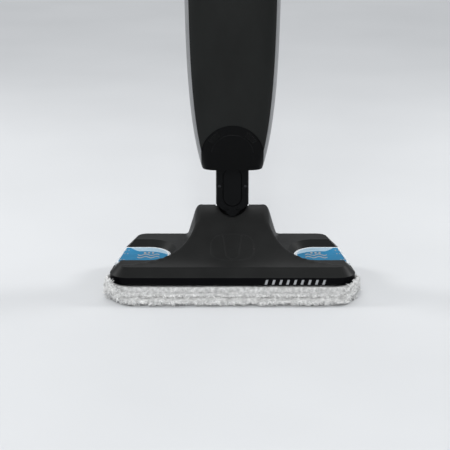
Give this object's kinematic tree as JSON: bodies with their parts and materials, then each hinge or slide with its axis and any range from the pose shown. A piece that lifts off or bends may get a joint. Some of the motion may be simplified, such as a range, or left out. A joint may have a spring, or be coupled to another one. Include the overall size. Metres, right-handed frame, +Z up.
{
  "type": "steam mop",
  "caption": "Upright steam mop: flat head with a washable pad and foot pedals, a two-way swivel neck, a steam body with a lift-off tank, a pole and a loop handle.",
  "frame": {"origin": "on the floor under the middle of the mop head", "axes": "+Z up, -Y towards the front of the mop, +X to the right when seen from the front"},
  "size_m": [0.308, 0.174, 1.18],
  "materials": {
    "microfibre": "long looped pile, off-white",
    "hook_fabric": "hook tape",
    "head_black": "satin, fine grain",
    "band_black": "polished",
    "cast_aluminium": "as cast",
    "badge_silver": "satin chrome",
    "bright_steel": "zinc plated",
    "pedal_white": "satin",
    "pedal_blue": "gloss",
    "neck_black": "satin",
    "bush_white": "acetal",
    "collar_black": "satin",
    "body_grey": "satin",
    "trim_silver": "satin silver",
    "inner_plastic": "moulded",
    "hose_silicone": "translucent silicone",
    "board_green": "solder mask",
    "black_rubber": "matt",
    "lamp_blue": "clear lens",
    "handle_black": "fine grain",
    "pole_metal": "satin powder coat",
    "control_blue": "satin",
    "tank_clear": "smoked clear",
    "cap_grey": "satin"
  },
  "bodies": {
    "head": {"microfibre_pad": "microfibre", "hook_strips": "hook_fabric", "sole_plate": "cast_aluminium", "base_tray": "band_black", "head_cover": "head_black", "front_badge": "badge_silver", "head_screws": "bright_steel", "pivot_bracket": "head_black", "tilt_pin": "bright_steel", "steam_duct": "hose_silicone", "pedal_pins": "bright_steel", "pedal_springs": "bright_steel"},
    "left_pedal": {"left_pedal": "pedal_white", "left_pedal_plate": "pedal_blue"},
    "right_pedal": {"right_pedal": "pedal_white", "right_pedal_plate": "pedal_blue"},
    "knuckle": {"swivel_knuckle": "neck_black", "knuckle_bushes": "bush_white"},
    "steam_body": {"roll_pin": "bright_steel", "neck_front_shell": "neck_black", "neck_rear_shell": "neck_black", "neck_cover": "neck_black", "steam_pipe": "hose_silicone", "bottom_collar": "collar_black", "front_shell": "body_grey", "left_blade": "trim_silver", "right_blade": "trim_silver", "rear_shell": "body_grey", "screws": "bright_steel", "boiler": "cast_aluminium", "heating_element": "bright_steel", "thermostat": "inner_plastic", "pump_body": "inner_plastic", "pump_cap": "inner_plastic", "inlet_hose": "hose_silicone", "boiler_hose": "hose_silicone", "control_board": "board_green", "tank_coupling": "inner_plastic", "coupling_seal": "black_rubber", "ready_lamp": "lamp_blue", "latch_spring": "bright_steel", "lower_cord_hook": "handle_black", "cord_gland": "black_rubber", "pole_collar": "collar_black", "pole": "pole_metal", "hook_sleeve": "handle_black", "handle_left_shell": "handle_black", "handle_right_shell": "handle_black", "grip_inlay": "black_rubber", "trigger_pin": "bright_steel", "trigger_spring": "bright_steel", "micro_switch": "inner_plastic"},
    "switch": {"power_switch": "control_blue"},
    "tank": {"water_tank": "tank_clear"},
    "cap": {"tank_cap": "cap_grey"},
    "latch": {"tank_latch": "control_blue"},
    "trigger": {"steam_trigger": "control_blue"},
    "lock_button": {"pole_lock": "control_blue"},
    "cord_hook": {"upper_cord_hook": "handle_black"},
    "plunger": {"pump_plunger": "bright_steel"}
  },
  "joints": [
    {"name": "handle_tilt", "type": "hinge", "parent": "head", "child": "knuckle", "pos_m": [0, 0.025, 0.071], "axis": [-1, 0, 0], "range_deg": [0, 75]},
    {"name": "side_swing", "type": "hinge", "parent": "knuckle", "child": "steam_body", "pos_m": [0, 0.025, 0.104], "axis": [0, 1, 0], "range_deg": [-45, 45]},
    {"name": "left_pedal_press", "type": "hinge", "parent": "head", "child": "left_pedal", "pos_m": [-0.089, -0.0035, 0.028], "axis": [0, -1, 0], "range_deg": [0, 3], "stiffness_Nm_per_rad": 8, "springref_deg": -2.86},
    {"name": "right_pedal_press", "type": "hinge", "parent": "head", "child": "right_pedal", "pos_m": [0.089, -0.0035, 0.028], "axis": [0, 1, 0], "range_deg": [0, 3], "stiffness_Nm_per_rad": 8, "springref_deg": -2.86},
    {"name": "switch_rock", "type": "hinge", "parent": "steam_body", "child": "switch", "pos_m": [0, -0.005, 0.545], "axis": [1, 0, 0], "range_deg": [0, 12]},
    {"name": "tank_release", "type": "slide", "parent": "steam_body", "child": "tank", "axis": [0, 1, 0], "range_m": [0, 0.06]},
    {"name": "cap_turn", "type": "hinge", "parent": "tank", "child": "cap", "pos_m": [0, 0.074, 0.432], "axis": [0, 1, 0], "range_deg": [0, 90]},
    {"name": "latch_press", "type": "slide", "parent": "steam_body", "child": "latch", "axis": [0, -1, 0], "range_m": [0, 0.003], "stiffness_N_per_m": 900, "springref_m": -0.002},
    {"name": "trigger_pull", "type": "hinge", "parent": "steam_body", "child": "trigger", "pos_m": [0, 0.045, 1.1285], "axis": [1, 0, 0], "range_deg": [0, 6], "stiffness_Nm_per_rad": 0.6, "springref_deg": -8.59},
    {"name": "lock_press", "type": "slide", "parent": "steam_body", "child": "lock_button", "axis": [0, 1, 0], "range_m": [0, 0.002], "stiffness_N_per_m": 900, "springref_m": -0.002},
    {"name": "cord_hook_turn", "type": "hinge", "parent": "steam_body", "child": "cord_hook", "pos_m": [0, 0.044, 0.968], "axis": [0, 1, 0], "range_deg": [0, 180]},
    {"name": "plunger_stroke", "type": "slide", "parent": "steam_body", "child": "plunger", "axis": [0, 0, 1], "range_m": [-0.0015, 0.0015], "stiffness_N_per_m": 400}
  ]
}
